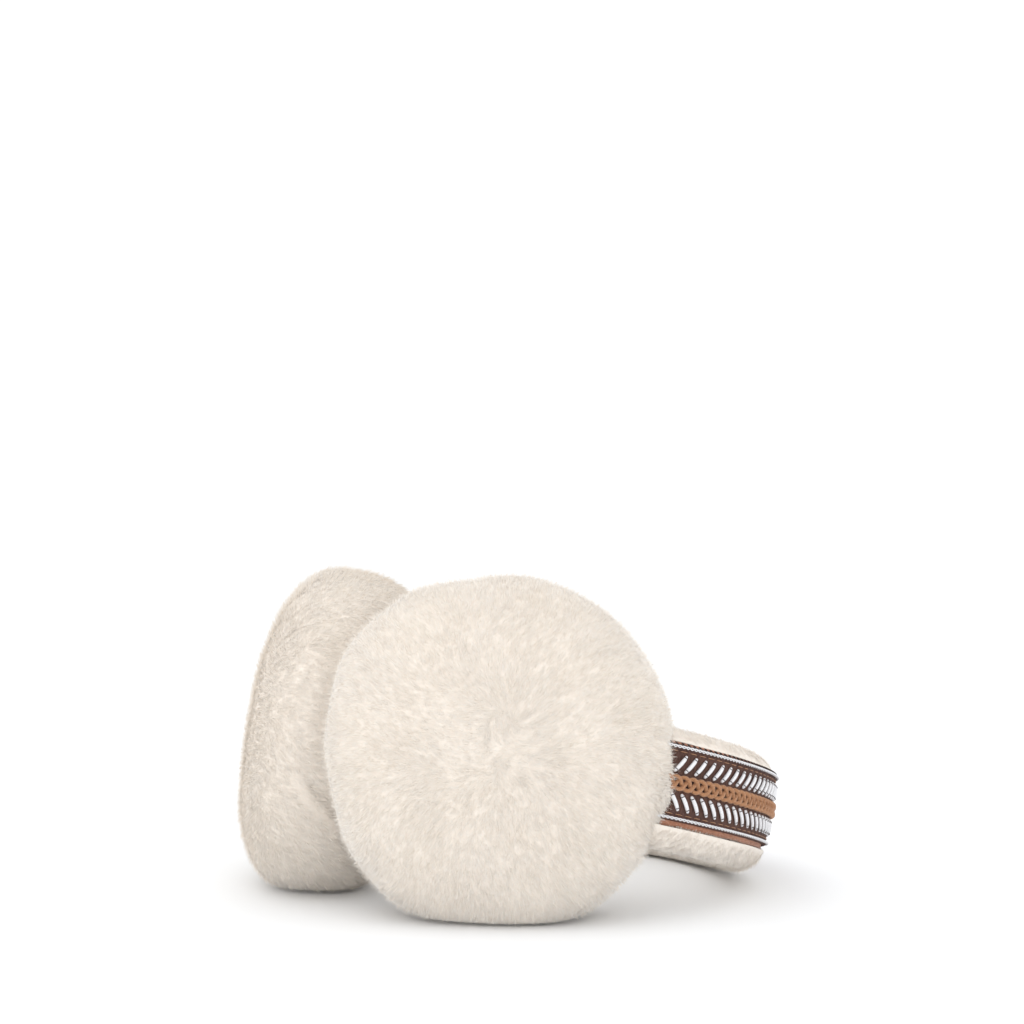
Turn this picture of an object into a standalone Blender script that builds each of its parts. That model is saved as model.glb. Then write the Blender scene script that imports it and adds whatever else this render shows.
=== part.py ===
"""Fur earmuffs lying on the floor: a sprung shearling headband with a round fur pad on each end.

Metres, +Z up, floor at z = 0. X runs across the two pads and +Y points from the pads to the top of the
headband. The headband lies in a plane that rests on the two pads and on the band's own lower edge.
Inside that plane, "along" is the distance from the middle of the headband, "out" points away from the
head and "rise" is the distance from the ribbon's middle line towards the headband's upper edge.
"""

import math
import random
from collections import namedtuple

import bmesh
import bpy
import numpy as np
from mathutils import Matrix, Vector

MM = 0.001

# Headband, along its middle line
BAND_HALF_LENGTH = 176.6 * MM
BAND_BEND_RADIUS = 75.8 * MM
BAND_END_TIGHTENING = 0.44

# Shearling strip of the headband, over its fur
FUR_WIDTH = 35.6 * MM
FUR_OUTER_DEPTH = 10.9 * MM
FUR_INNER_DEPTH = 9.0 * MM
FUR_ROUNDNESS = 2.5
RIBBON_RAISE = 1.4 * MM

# Suede, ribbon and cords on the strip's outer side
SUEDE_THICKNESS = 1.0 * MM
SUEDE_SHOWS_ABOVE = 0.5 * MM
SUEDE_SHOWS_BELOW = 1.6 * MM
RIBBON_WIDTH = 21.6 * MM
RIBBON_THICKNESS = 0.8 * MM
RIBBON_OUT = 9.0 * MM
CORD_DIAMETER = 1.0 * MM
CORD_INSET = 0.8 * MM
TRIM_INTO_PAD = 14.0 * MM
PLAIN_BEFORE_PAD = 7.0 * MM

# Ear pads, over their fur
PAD_RADIUS = 50.7 * MM
PAD_OUTER_DEPTH = 23.7 * MM
PAD_INNER_DEPTH = 29.8 * MM
PAD_OUTER_ROUNDNESS = 2.45
PAD_INNER_ROUNDNESS = 3.0
PAD_SET_IN = 8.3 * MM
PAD_TURN = math.radians(13.9)
PAD_LEAN = math.radians(1.2)

# Outline of a pad: radius as a share of PAD_RADIUS, clockwise round the right pad seen from outside,
# starting at the point that is furthest from the headband
OutlineRow = namedtuple("OutlineRow", "degrees share")
OUTLINE = (
    OutlineRow(0, 0.984),
    OutlineRow(24, 1.028),
    OutlineRow(48, 1.026),
    OutlineRow(72, 0.982),
    OutlineRow(96, 0.996),
    OutlineRow(120, 0.990),
    OutlineRow(144, 0.986),
    OutlineRow(168, 0.997),
    OutlineRow(192, 0.998),
    OutlineRow(216, 1.008),
    OutlineRow(240, 1.024),
    OutlineRow(264, 0.993),
    OutlineRow(288, 1.018),
    OutlineRow(312, 1.004),
    OutlineRow(336, 0.965),
)

# Fur locks; the lean is a share of a lock's width
PAD_LOCK_SPACING = 6.0 * MM
PAD_LOCK_HEIGHT = 1.7 * MM
BAND_LOCK_SPACING = 6.3 * MM
BAND_LOCK_HEIGHT = 1.2 * MM
LOCK_LEAN = 0.25
LOCK_UNEVENNESS = 0.35

# How far the fur is pressed flat, and the gap that separate pieces keep
PAD_PRESS = 1.9 * MM
BAND_PRESS = 1.3 * MM
SEAT_GAP = 0.3 * MM

# Facets
STRIP_STEP = 4.8 * MM
CORD_SIDES = 6
SAMPLES = 400

# What follows from the sizes above
SUEDE_OUT = RIBBON_OUT - RIBBON_THICKNESS - SEAT_GAP
FUR_SEAT_OUT = SUEDE_OUT - SUEDE_THICKNESS - SEAT_GAP
SUEDE_TOP = RIBBON_WIDTH / 2 + SUEDE_SHOWS_ABOVE
SUEDE_BOTTOM = -RIBBON_WIDTH / 2 - SUEDE_SHOWS_BELOW
CORD_OUT = RIBBON_OUT + SEAT_GAP + CORD_DIAMETER / 2
CORD_RISE = RIBBON_WIDTH / 2 - CORD_INSET
FURRY_WIDTH = 2 * FUR_WIDTH + FUR_OUTER_DEPTH + FUR_INNER_DEPTH - RIBBON_WIDTH
LOCK_ROWS = round(FURRY_WIDTH / BAND_LOCK_SPACING)

COLOURS = {
    "cream_fur": ((0.80, 0.76, 0.69), 0.95),
    "rust_suede": ((0.44, 0.15, 0.08), 0.95),
    "brown_ribbon": ((0.10, 0.05, 0.04), 0.80),
    "white_cord": ((0.82, 0.82, 0.84), 0.75),
}


def clear_scene():
    for obj in list(bpy.data.objects):
        bpy.data.objects.remove(obj, do_unlink=True)


def make_material(name):
    colour, roughness = COLOURS[name]
    material = bpy.data.materials.new(name)
    material.use_nodes = True
    shader = material.node_tree.nodes["Principled BSDF"]
    shader.inputs["Base Color"].default_value = (*colour, 1.0)
    shader.inputs["Roughness"].default_value = roughness
    shader.inputs["Metallic"].default_value = 0.0
    return material


def new_object(name, bm, material=None, parent=None):
    """An object made from a bmesh, shaded smooth where its faces meet at small angles."""
    mesh = bpy.data.meshes.new(name)
    bmesh.ops.recalc_face_normals(bm, faces=bm.faces)
    bm.to_mesh(mesh)
    bm.free()
    mesh.shade_smooth()
    mesh.set_sharp_from_angle(angle=math.radians(40))
    if material:
        mesh.materials.append(material)
    obj = bpy.data.objects.new(name, mesh)
    obj.parent = parent
    bpy.context.scene.collection.objects.link(obj)
    return obj


def make_cutter(name, bm, parent=None):
    cutter = new_object(name, bm, parent=parent)
    cutter.hide_render = True
    cutter.display_type = "WIRE"
    return cutter


def cut(obj, cutter):
    modifier = obj.modifiers.new(cutter.name, "BOOLEAN")
    modifier.operation = "DIFFERENCE"
    modifier.solver = "EXACT"
    modifier.object = cutter
    modifier.use_self = True


def trace_half_band():
    """Angle turned and (x, y) along one half of the middle line, whose bend tightens to its end."""
    along = np.linspace(0, BAND_HALF_LENGTH + SEAT_GAP, SAMPLES)
    share = along / BAND_HALF_LENGTH
    turned = along / BAND_BEND_RADIUS * (1 + BAND_END_TIGHTENING * share**2 / 3)
    step = along[1]
    middle = (turned[1:] + turned[:-1]) / 2
    x = np.concatenate([[0], np.cumsum(np.cos(middle)) * step])
    y = -np.concatenate([[0], np.cumsum(np.sin(middle)) * step])
    return along, turned, x, y


HALF_BAND = trace_half_band()


def band_point(along, out=0.0, rise=0.0):
    """A point of the headband's plane frame; the right half has positive distances along."""
    distances, turned, x, y = HALF_BAND
    side = math.copysign(1, along)
    angle = float(np.interp(abs(along), distances, turned))
    at_x = float(np.interp(abs(along), distances, x)) + out * math.sin(angle)
    at_y = float(np.interp(abs(along), distances, y)) + out * math.cos(angle)
    return Vector((side * at_x, at_y, rise))


def pad_frame():
    """Centre of the right pad, its outward axis, the way on from the band, and its upward direction."""
    end = band_point(BAND_HALF_LENGTH)
    out = band_point(BAND_HALF_LENGTH, out=1) - end
    centre = end - PAD_SET_IN * out
    axis = Matrix.Rotation(PAD_TURN, 3, "Z") @ out
    onward = Vector((-axis.y, axis.x, 0)) * -1
    up = Vector((0, 0, 1))
    return (
        centre,
        math.cos(PAD_LEAN) * axis - math.sin(PAD_LEAN) * up,
        onward,
        math.cos(PAD_LEAN) * up + math.sin(PAD_LEAN) * axis,
    )


def outline_share(turn):
    """Radius share of the pad's outline, blended smoothly between the rows of OUTLINE."""
    degrees = math.degrees(turn) % 360
    last = OutlineRow(OUTLINE[0].degrees + 360, OUTLINE[0].share)
    for row, following in zip(OUTLINE, (*OUTLINE[1:], last)):
        if degrees <= following.degrees:
            part = (degrees - row.degrees) / (following.degrees - row.degrees)
            blend = (1 - math.cos(math.pi * part)) / 2
            return row.share + (following.share - row.share) * blend
    return last.share


def pad_profile():
    """Distances round a pad from its outer to its inner pole, with the radius and height there."""
    angle = np.linspace(0, math.pi, SAMPLES)
    cosine = np.cos(angle)
    power = 2 / np.where(cosine > 0, PAD_OUTER_ROUNDNESS, PAD_INNER_ROUNDNESS)
    depth = np.where(cosine > 0, PAD_OUTER_DEPTH, PAD_INNER_DEPTH)
    radius = PAD_RADIUS * np.abs(np.sin(angle)) ** power
    height = np.sign(cosine) * np.abs(cosine) ** power * depth
    steps = np.hypot(np.diff(radius), np.diff(height))
    return np.concatenate([[0], np.cumsum(steps)]), radius, height


PAD_PROFILE = pad_profile()


def pad_point(polar, turn, side=1, sink=0.0):
    """A point of a pad's surface; polar runs from 0 at the outer pole to pi at the inner one."""
    distances, radii, heights = PAD_PROFILE
    distance = polar / math.pi * distances[-1]
    radius = float(np.interp(distance, distances, radii)) * outline_share(turn)
    height = float(np.interp(distance, distances, heights))
    shrink = 1 - sink / PAD_RADIUS
    flatten = 1 - 2 * sink / (PAD_OUTER_DEPTH + PAD_INNER_DEPTH)
    centre, axis, onward, up = pad_frame()
    radial = math.cos(turn) * onward + math.sin(turn) * up
    point = centre + height * flatten * axis + radius * shrink * radial
    return Vector((side * point.x, point.y, point.z))


def fur_section():
    """(out, rise) clockwise round the fur strip at the foot of its locks, with its seat for the suede.

    It runs from the suede's lower side, under and behind, to its upper side.
    """
    middle = (SUEDE_TOP + SUEDE_BOTTOM) / 2 - RIBBON_RAISE
    half = FUR_WIDTH / 2 - BAND_LOCK_HEIGHT
    low = SUEDE_BOTTOM - SEAT_GAP
    high = SUEDE_TOP + SEAT_GAP
    power = 2 / FUR_ROUNDNESS

    def at(angle):
        depth = FUR_OUTER_DEPTH if math.cos(angle) > 0 else FUR_INNER_DEPTH
        out = math.copysign(abs(math.cos(angle)) ** power, math.cos(angle))
        rise = math.copysign(abs(math.sin(angle)) ** power, math.sin(angle))
        return out * (depth - BAND_LOCK_HEIGHT), middle + rise * half

    def angle_of(rise):
        return math.asin(math.copysign((abs(rise - middle) / half) ** (1 / power), rise - middle))

    start = angle_of(low)
    end = angle_of(high) - 2 * math.pi
    furry = [at(start + (end - start) * n / SAMPLES) for n in range(SAMPLES + 1)]
    return [*evenly(furry, LOCK_ROWS), (FUR_SEAT_OUT, high), (FUR_SEAT_OUT, low)]


def block_section(low_out, high_out, low_rise, high_rise):
    """(out, rise) clockwise round a rectangle."""
    return [(low_out, low_rise), (low_out, high_rise), (high_out, high_rise), (high_out, low_rise)]


def widened(section, gap):
    """A clockwise section with every side moved outwards by the gap."""
    corners = [Vector(point) for point in section]
    wider = []
    for before, corner, after in zip(corners[-1:] + corners, corners, corners[1:] + corners[:1]):
        first = (corner - before).normalized().orthogonal()
        second = (after - corner).normalized().orthogonal()
        wider.append(corner + gap * (first + second) / (1 + first.dot(second)))
    return wider


def evenly(points, count):
    """count + 1 points at even distances along a list of points."""
    line = np.array(points)
    travelled = np.concatenate([[0], np.cumsum(np.hypot(*np.diff(line, axis=0).T))])
    wanted = np.linspace(0, travelled[-1], count + 1)
    return list(zip(*(np.interp(wanted, travelled, line[:, k]) for k in (0, 1))))


def sweep(section, stations):
    """A closed bmesh: the section, a loop of (out, rise), carried along the band through the stations."""
    bm = bmesh.new()
    rings = [[bm.verts.new(band_point(along, *point)) for point in section] for along in stations]
    count = len(section)
    for ring, following in zip(rings, rings[1:]):
        for n in range(count):
            after = (n + 1) % count
            bm.faces.new((ring[n], ring[after], following[after], following[n]))
    bm.faces.new(rings[0])
    bm.faces.new(reversed(rings[-1]))
    return bm, rings


def even_stations(half_length, step):
    count = max(2, round(2 * half_length / step))
    return [half_length * (2 * n / count - 1) for n in range(count + 1)]


def longer(stations, gap):
    return [stations[0] - gap, *stations[1:-1], stations[-1] + gap]


def bare_half_length():
    """Half the length of band that shows between the pads."""
    centre = pad_frame()[0]
    distances = HALF_BAND[0]
    for along in reversed(distances):
        if (band_point(along) - centre).length > PAD_RADIUS + PAD_LOCK_HEIGHT:
            return float(along)
    return BAND_HALF_LENGTH


BARE_HALF_LENGTH = bare_half_length()
LOCKS_HALF_LENGTH = BARE_HALF_LENGTH - PLAIN_BEFORE_PAD
TRIM_STATIONS = even_stations(BARE_HALF_LENGTH + TRIM_INTO_PAD, STRIP_STEP)
LOCK_STATIONS = even_stations(LOCKS_HALF_LENGTH, BAND_LOCK_SPACING)
PLAIN_ROWS = round((BAND_HALF_LENGTH - LOCKS_HALF_LENGTH) / BAND_LOCK_SPACING)
PLAIN_STATIONS = list(np.linspace(LOCKS_HALF_LENGTH, BAND_HALF_LENGTH, PLAIN_ROWS + 1)[1:])
FUR_STATIONS = [-along for along in reversed(PLAIN_STATIONS)] + LOCK_STATIONS + PLAIN_STATIONS


def raise_locks(bm, faces, height, lean_towards, dice):
    """Pokes each face and lifts its middle into the tip of a fur lock that leans over its neighbour."""
    leans = {}
    for face in faces:
        middle = face.calc_center_median()
        width = math.sqrt(face.calc_area())
        leans[face] = (middle, face.normal.copy(), lean_towards(middle), width)
    for face, (middle, normal, lean, width) in leans.items():
        poked = bmesh.ops.poke(bm, faces=[face])
        tip = poked["verts"][0]
        flat = lean - normal * lean.dot(normal)
        size = 1 + LOCK_UNEVENNESS * dice.uniform(-1, 1)
        tip.co = middle + normal * height * size
        if flat.length > 0:
            tip.co += flat.normalized() * LOCK_LEAN * width


def make_pad(name, side, material, parent):
    """A fur pad: a cube of square cells laid over the pad's rounded form, each cell raised to a lock."""
    dice = random.Random(f"{name} locks")
    bm = bmesh.new()
    bmesh.ops.create_cube(bm, size=2)
    cells = max(2, round(PAD_PROFILE[0][-1] / 2 / PAD_LOCK_SPACING))
    bmesh.ops.subdivide_edges(bm, edges=bm.edges, cuts=cells - 1, use_grid_fill=True)
    cell_angle = math.pi / 2 / cells
    for vert in bm.verts:
        direction = Vector([math.tan(math.pi / 4 * c) for c in vert.co]).normalized()
        wobble = [dice.uniform(-1, 1) for _ in range(3)]
        direction += Vector(wobble) * cell_angle * LOCK_UNEVENNESS / 2
        direction.normalize()
        polar = math.acos(max(-1, min(1, direction.z)))
        turn = math.atan2(direction.y, direction.x)
        vert.co = pad_point(polar, turn, side, PAD_LOCK_HEIGHT)
    bmesh.ops.recalc_face_normals(bm, faces=bm.faces)
    pole = pad_point(0, 0, side)
    raise_locks(bm, list(bm.faces), PAD_LOCK_HEIGHT, lambda at: at - pole, dice)
    return new_object(name, bm, material, parent)


def make_band_fur(material, parent):
    """The shearling strip: locks on the fur that shows, a flat seat for the suede, plain ends in the pads."""
    dice = random.Random("band locks")
    section = fur_section()
    bm, rings = sweep(section, FUR_STATIONS)
    bmesh.ops.recalc_face_normals(bm, faces=bm.faces)
    shown = rings[len(PLAIN_STATIONS) : -len(PLAIN_STATIONS)]
    locked = []
    for ring, following in zip(shown, shown[1:]):
        for n in range(LOCK_ROWS):
            corners = {ring[n], ring[n + 1], following[n], following[n + 1]}
            locked += [face for face in ring[n].link_faces if set(face.verts) == corners]
    for ring in shown[1:-1]:
        for vert in ring[1:LOCK_ROWS]:
            wobble = [dice.uniform(-1, 1) for _ in range(3)]
            vert.co += Vector(wobble) * BAND_LOCK_SPACING * LOCK_UNEVENNESS / 4
    bm.normal_update()
    raise_locks(bm, locked, BAND_LOCK_HEIGHT, lambda at: Vector((at.x, 0, 0)), dice)
    return new_object("band_fur", bm, material, parent)


def make_strip(name, low_out, high_out, low_rise, high_rise, material, parent):
    """A flat strip along the headband's outer side, ending inside the pads."""
    section = block_section(low_out, high_out, low_rise, high_rise)
    return new_object(name, sweep(section, TRIM_STATIONS)[0], material, parent)


def make_edge_cord(name, rise, material, parent):
    turns = [2 * math.pi * n / CORD_SIDES for n in range(CORD_SIDES)]
    radius = CORD_DIAMETER / 2
    section = [(CORD_OUT + radius * math.cos(t), rise + radius * math.sin(t)) for t in turns]
    return new_object(name, sweep(section, TRIM_STATIONS)[0], material, parent)


def make_band_space(parent):
    """Cutter for the pocket that a pad holds round the end of the fur strip."""
    section = widened(fur_section(), SEAT_GAP)
    stations = longer(FUR_STATIONS, SEAT_GAP)
    return make_cutter("band_space", sweep(section, stations)[0], parent)


def make_trim_space(parent):
    """Cutter for the pocket that a pad holds round the suede, the ribbon and the cords."""
    trim = block_section(FUR_SEAT_OUT, CORD_OUT + CORD_DIAMETER / 2, SUEDE_BOTTOM, SUEDE_TOP)
    section = widened(trim, SEAT_GAP)
    stations = longer(TRIM_STATIONS, SEAT_GAP)
    return make_cutter("trim_space", sweep(section, stations)[0], parent)


def make_slab(name, low, high):
    bm = bmesh.new()
    bmesh.ops.create_cube(bm, size=1)
    for vert in bm.verts:
        vert.co = Vector([(a + b) / 2 + c * (b - a) for a, b, c in zip(low, high, vert.co)])
    return make_cutter(name, bm)


def points_of(obj):
    return np.array([vert.co for vert in obj.data.vertices])


def resting_slope(pad, band):
    """Angle by which the band's plane falls to the top of the headband when it and the pads rest."""

    def lowest(points, slope):
        return float((points[:, 2] * math.cos(slope) - points[:, 1] * math.sin(slope)).min())

    low, high = 0.0, math.radians(45)
    for _ in range(40):
        slope = (low + high) / 2
        if lowest(pad, slope) + PAD_PRESS < lowest(band, slope) + BAND_PRESS:
            low = slope
        else:
            high = slope
    return slope, lowest(pad, slope) + PAD_PRESS


def build():
    clear_scene()
    materials = {name: make_material(name) for name in COLOURS}
    plane = bpy.data.objects.new("band_plane", None)
    bpy.context.scene.collection.objects.link(plane)

    fur = materials["cream_fur"]
    pads = [make_pad("ear_pad_right", 1, fur, plane), make_pad("ear_pad_left", -1, fur, plane)]
    band = make_band_fur(fur, plane)
    suede = make_strip(
        "band_suede",
        SUEDE_OUT - SUEDE_THICKNESS,
        SUEDE_OUT,
        SUEDE_BOTTOM,
        SUEDE_TOP,
        materials["rust_suede"],
        plane,
    )
    ribbon = make_strip(
        "band_ribbon",
        RIBBON_OUT - RIBBON_THICKNESS,
        RIBBON_OUT,
        -RIBBON_WIDTH / 2,
        RIBBON_WIDTH / 2,
        materials["brown_ribbon"],
        plane,
    )
    upper = make_edge_cord("cord_upper", CORD_RISE, materials["white_cord"], plane)
    lower = make_edge_cord("cord_lower", -CORD_RISE, materials["white_cord"], plane)

    slope, floor = resting_slope(points_of(pads[0]), points_of(band))
    plane.rotation_euler = (-slope, 0, 0)
    turned = Matrix.Rotation(-slope, 3, "X")
    pieces = (*pads, band, suede, ribbon, upper, lower)
    depths = [(turned @ Vector(point)).y for piece in pieces for point in points_of(piece)]
    plane.location = (0, -(min(depths) + max(depths)) / 2, -floor)

    reach = BAND_HALF_LENGTH + PAD_RADIUS
    below = make_slab("floor_space", (-reach, -reach, -reach), (reach, reach, 0))
    spaces = [make_band_space(plane), make_trim_space(plane)]
    for pad, side in zip(pads, (1, -1)):
        inner = sorted((-side * reach, side * SEAT_GAP / 2))
        middle = make_slab(f"{pad.name}_beyond_middle", (inner[0], -reach, -reach), (inner[1], reach, reach))
        for cutter in (*spaces, middle, below):
            cut(pad, cutter)
    cut(band, below)


build()
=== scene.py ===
"""Looks of the fur earmuffs: combed shearling fur, suede, ribbed ribbon, embroidery and corded edges.

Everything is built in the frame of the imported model: metres, +Z up, floor at z = 0. The headband lies in a
plane; along, out and rise are measured in it from the middle of the headband, as in the part's source.
"""

import math
from collections import namedtuple

import bmesh
import bpy
import numpy as np
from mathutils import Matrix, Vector, kdtree


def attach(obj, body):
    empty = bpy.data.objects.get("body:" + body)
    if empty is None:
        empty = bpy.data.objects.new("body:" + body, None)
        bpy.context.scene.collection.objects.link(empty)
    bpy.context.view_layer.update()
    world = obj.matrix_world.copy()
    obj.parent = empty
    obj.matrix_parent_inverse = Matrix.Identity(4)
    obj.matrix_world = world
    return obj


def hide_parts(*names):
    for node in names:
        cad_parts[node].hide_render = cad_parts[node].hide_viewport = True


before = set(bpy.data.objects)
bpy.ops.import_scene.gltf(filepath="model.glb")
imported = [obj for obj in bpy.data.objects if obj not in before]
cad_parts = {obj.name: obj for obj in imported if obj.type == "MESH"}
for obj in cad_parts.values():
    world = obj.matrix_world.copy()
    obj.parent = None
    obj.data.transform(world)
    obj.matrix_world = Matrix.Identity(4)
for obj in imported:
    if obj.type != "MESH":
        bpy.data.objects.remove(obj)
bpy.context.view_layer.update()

MM = 0.001

# Camera, from the photograph
CAMERA_PLACE = (0.4974, -0.4854, 0.1254)
CAMERA_YAW = math.radians(45.68)
CAMERA_PITCH = math.radians(-0.91)
CAMERA_LENS = 78.59
SENSOR_WIDTH = 36.0
CLIP_START = 0.01
CLIP_END = 50.0

# Light
SKY_STRENGTH = 1.11
Lamp = namedtuple("Lamp", "name power size place")
LAMPS = (
    Lamp("soft_box", 1.3, 1.0, (-0.10, -0.30, 1.15)),
    Lamp("front_fill", 1.7, 0.9, (1.08, -0.60, 0.26)),
    Lamp("low_fill", 2.0, 0.5, (-0.45, -1.05, 0.10)),
)
FLOOR_SIZE = 16.0
FLOOR_COLOUR = (0.945, 0.957, 0.97)

# Headband, as in the part's source, apart from FUR_ROUNDNESS and CORD_OUT, which are chosen for the looks
BAND_HALF_LENGTH = 176.6 * MM
BAND_BEND_RADIUS = 75.8 * MM
BAND_END_TIGHTENING = 0.44
PLANE_SLOPE = math.radians(14.733)
PLANE_PLACE = (0, 68.32 * MM, 17.77 * MM)
FUR_WIDTH = 35.6 * MM
FUR_OUTER_DEPTH = 10.9 * MM
FUR_INNER_DEPTH = 9.0 * MM
FUR_ROUNDNESS = 2.35
RIBBON_RAISE = 1.4 * MM
SUEDE_THICKNESS = 1.0 * MM
SUEDE_TOP = 11.3 * MM
SUEDE_BOTTOM = -12.4 * MM
RIBBON_WIDTH = 21.6 * MM
RIBBON_THICKNESS = 0.8 * MM
RIBBON_OUT = 9.0 * MM
CORD_RISE = 10.0 * MM
CORD_OUT = 9.6 * MM
SEAT_GAP = 0.3 * MM
SUEDE_MIDDLE_OUT = RIBBON_OUT - RIBBON_THICKNESS - SEAT_GAP - SUEDE_THICKNESS / 2
FUR_MIDDLE_RISE = (SUEDE_TOP + SUEDE_BOTTOM) / 2 - RIBBON_RAISE
BARE_HALF_LENGTH = 117.9 * MM
TRIM_RUN_IN = 14.0 * MM
TRIM_HALF_LENGTH = BARE_HALF_LENGTH + TRIM_RUN_IN
TRIM_MIDDLE_OUT = 8.0 * MM

# Ear pads, as in the part's source
PAD_RADIUS = 50.7 * MM
PAD_OUTER_DEPTH = 23.7 * MM
PAD_INNER_DEPTH = 29.8 * MM
PAD_OUTER_ROUNDNESS = 2.45
PAD_INNER_ROUNDNESS = 3.0
PAD_SET_IN = 8.3 * MM
PAD_TURN = math.radians(13.9)
PAD_LEAN = math.radians(1.2)

OutlineRow = namedtuple("OutlineRow", "degrees share")
OUTLINE = (
    OutlineRow(0, 0.984),
    OutlineRow(24, 1.028),
    OutlineRow(48, 1.026),
    OutlineRow(72, 0.982),
    OutlineRow(96, 0.996),
    OutlineRow(120, 0.990),
    OutlineRow(144, 0.986),
    OutlineRow(168, 0.997),
    OutlineRow(192, 0.998),
    OutlineRow(216, 1.008),
    OutlineRow(240, 1.024),
    OutlineRow(264, 0.993),
    OutlineRow(288, 1.018),
    OutlineRow(312, 1.004),
    OutlineRow(336, 0.965),
)

# The fold in the left pad's fur, close to where the pads press on each other: points, depth and width
CREASE = (
    (-5.4 * MM, -77.2 * MM, 35.9 * MM),
    (-3.4 * MM, -72.6 * MM, 29.5 * MM),
    (-2.0 * MM, -67.1 * MM, 23.8 * MM),
)
CREASE_DEPTH = 1.1 * MM
CREASE_WIDTH = 1.9 * MM
CREASE_SAMPLES = 30

# Surface of the pads' fur: its grid, its swell, and its bulge over the end of the ribbon
PAD_ROWS = 92
PAD_COLUMNS = 200
PAD_SWELL = 0.22 * MM
PAD_SWELL_SIZE = 13 * MM
ENTRY_RISE = -5 * MM
ENTRY_SWELL = 1.9 * MM
ENTRY_REACH = 13 * MM

# Surface of the headband's fur: its grid, how far it runs on into the pads, and its swell
BAND_ROWS = 220
BAND_COLUMNS = 64
BAND_RUN_IN = 22 * MM
BAND_SWELL = 0.20 * MM
BAND_SWELL_SIZE = 11 * MM

# Combing: from the outer pole of a pad over its rim, and on the headband away from the suede and onward
WHORL_RADIUS = 22 * MM
WHORL_SOFTNESS = 1.5
PAD_DRIFT = 0.40
PAD_DRIFT_SIZE = 15 * MM
PAD_FINE_DRIFT = 0.18
BAND_DRIFT = 0.25
BAND_DRIFT_SIZE = 12 * MM
BAND_FINE_DRIFT = 0.12
FINE_DRIFT_SIZE = 5 * MM
ONWARD_SHARE = 0.45
APEX_BLEND = 25 * MM
PARTING_SHARPNESS = 4
FULL_LEAN = 0.94

# The surface's press onto the floor and onto the other pad starts this far away
PRESS_START = 2.0 * MM

# Hairs; the spreads are least and most shares, and the two rows of heights are least, likeliest and most
HAIR_LENGTH = 2.8 * MM
HAIR_WIDTH = 0.26 * MM
HAIR_RISE = 0.32
HAIR_STRAY = 0.12
FUZZ_SHARE = 0.36
FUZZ_RISE = 1.3
FUZZ_WIDTH = 0.14 * MM
TUFT_GATHER = 0.2
SHADING_TILT = 0.05
HIDE_DEPTH = 0.35 * MM
PAD_HAIRS = 149000
BAND_HAIRS = 134000
LEAST_COMBED = 0.04
LAY_HEIGHTS_MM = (-0.30, -0.05, 0.30)
FUZZ_HEIGHTS_MM = (-0.1, 0.2, 2.1)
BAND_FLUFF = 0.8
HAIRS_PER_TUFT = 40
GATHER_BIAS = 0.7
LENGTH_SPREAD = (0.8, 1.1)
WIDTH_SPREAD = (0.7, 1.2)

# Seeds of the random draws; a pad adds its side to its own
PAD_DRIFT_SEED = 11
PAD_FINE_DRIFT_SEED = 31
PAD_SWELL_SEED = 51
BAND_DRIFT_SEED = 71
BAND_FINE_DRIFT_SEED = 81
BAND_SWELL_SEED = 91
OUTER_FUR_SEED = 100
INNER_FUR_SEED = 200
BAND_FUR_SEED = 300
SUEDE_FINE_SEED = 401
SUEDE_LONG_SEED = 402
RIBBON_WAVE_SEED = 411

# Suede strip: its raw edge is uneven in fine and in long waves
SUEDE_ROWS = 320
SUEDE_COLUMNS = 12
RAW_EDGE_START = 10.0 * MM
RAW_EDGE_WIDTH = 1.8 * MM
FINE_RAGS = 0.10 * MM
FINE_RAG_SIZE = 1.1 * MM
LONG_RAGS = 0.12 * MM
LONG_RAG_SIZE = 6 * MM

# Ribbon
RIB_PITCH = 0.52 * MM
RIB_HEIGHT = 0.08 * MM
RIBBON_COLUMNS = 9
RIBBON_EDGE_WIDTH = 0.3 * MM
RIBBON_EDGE_DROP = 0.15 * MM
RIBBON_WAVE = 0.06 * MM
RIBBON_WAVE_SIZE = 7 * MM

# Edge cords, each of two strands laid round each other
CORD_LAY = 2.6 * MM
CORD_STRAND_RADIUS = 0.19 * MM
CORD_SWING_OUT = 0.24 * MM
CORD_SWING_RISE = 0.28 * MM
CORD_STEPS = 8
CORD_SIDES = 5

# White stitches, and the dark ties over them at two of their steps
STITCH_PITCH = 3.3 * MM
STITCH_LOW = 2.9 * MM
STITCH_HIGH = 7.8 * MM
STITCH_SLANT = 3.2 * MM
STITCH_RADIUS = 0.62 * MM
STITCH_END_MARGIN = 4 * MM
STITCH_LIFT = 0.10 * MM
STITCH_ARCH = 0.55 * MM
STITCH_ARCH_FULLNESS = 0.6
STITCH_STEPS = 9
STITCH_SIDES = 10
STITCH_TWIST = {"ridges": 5, "twist": 1.6, "depth": 0.07, "flat": 0.8}
TIED_STEPS = (2, 6)
TIE_RADIUS = 0.13 * MM
TIE_REACH = 1.06
TIE_HEIGHT = 0.88
TIE_STEPS = 7
TIE_SIDES = 4

# Tan plait
PLAIT_STRANDS = 3
PLAIT_PITCH = 8.3 * MM
PLAIT_SWING = 1.75 * MM
PLAIT_RADIUS = 0.60 * MM
PLAIT_LIFT = 0.62 * MM
PLAIT_CROSSING = 0.38 * MM
PLAIT_STEPS = 18
PLAIT_SIDES = 9
PLAIT_PLIES = 3
PLAIT_PLY_PITCH = 2.6 * MM
PLAIT_PLY_DEPTH = 0.13

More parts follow.
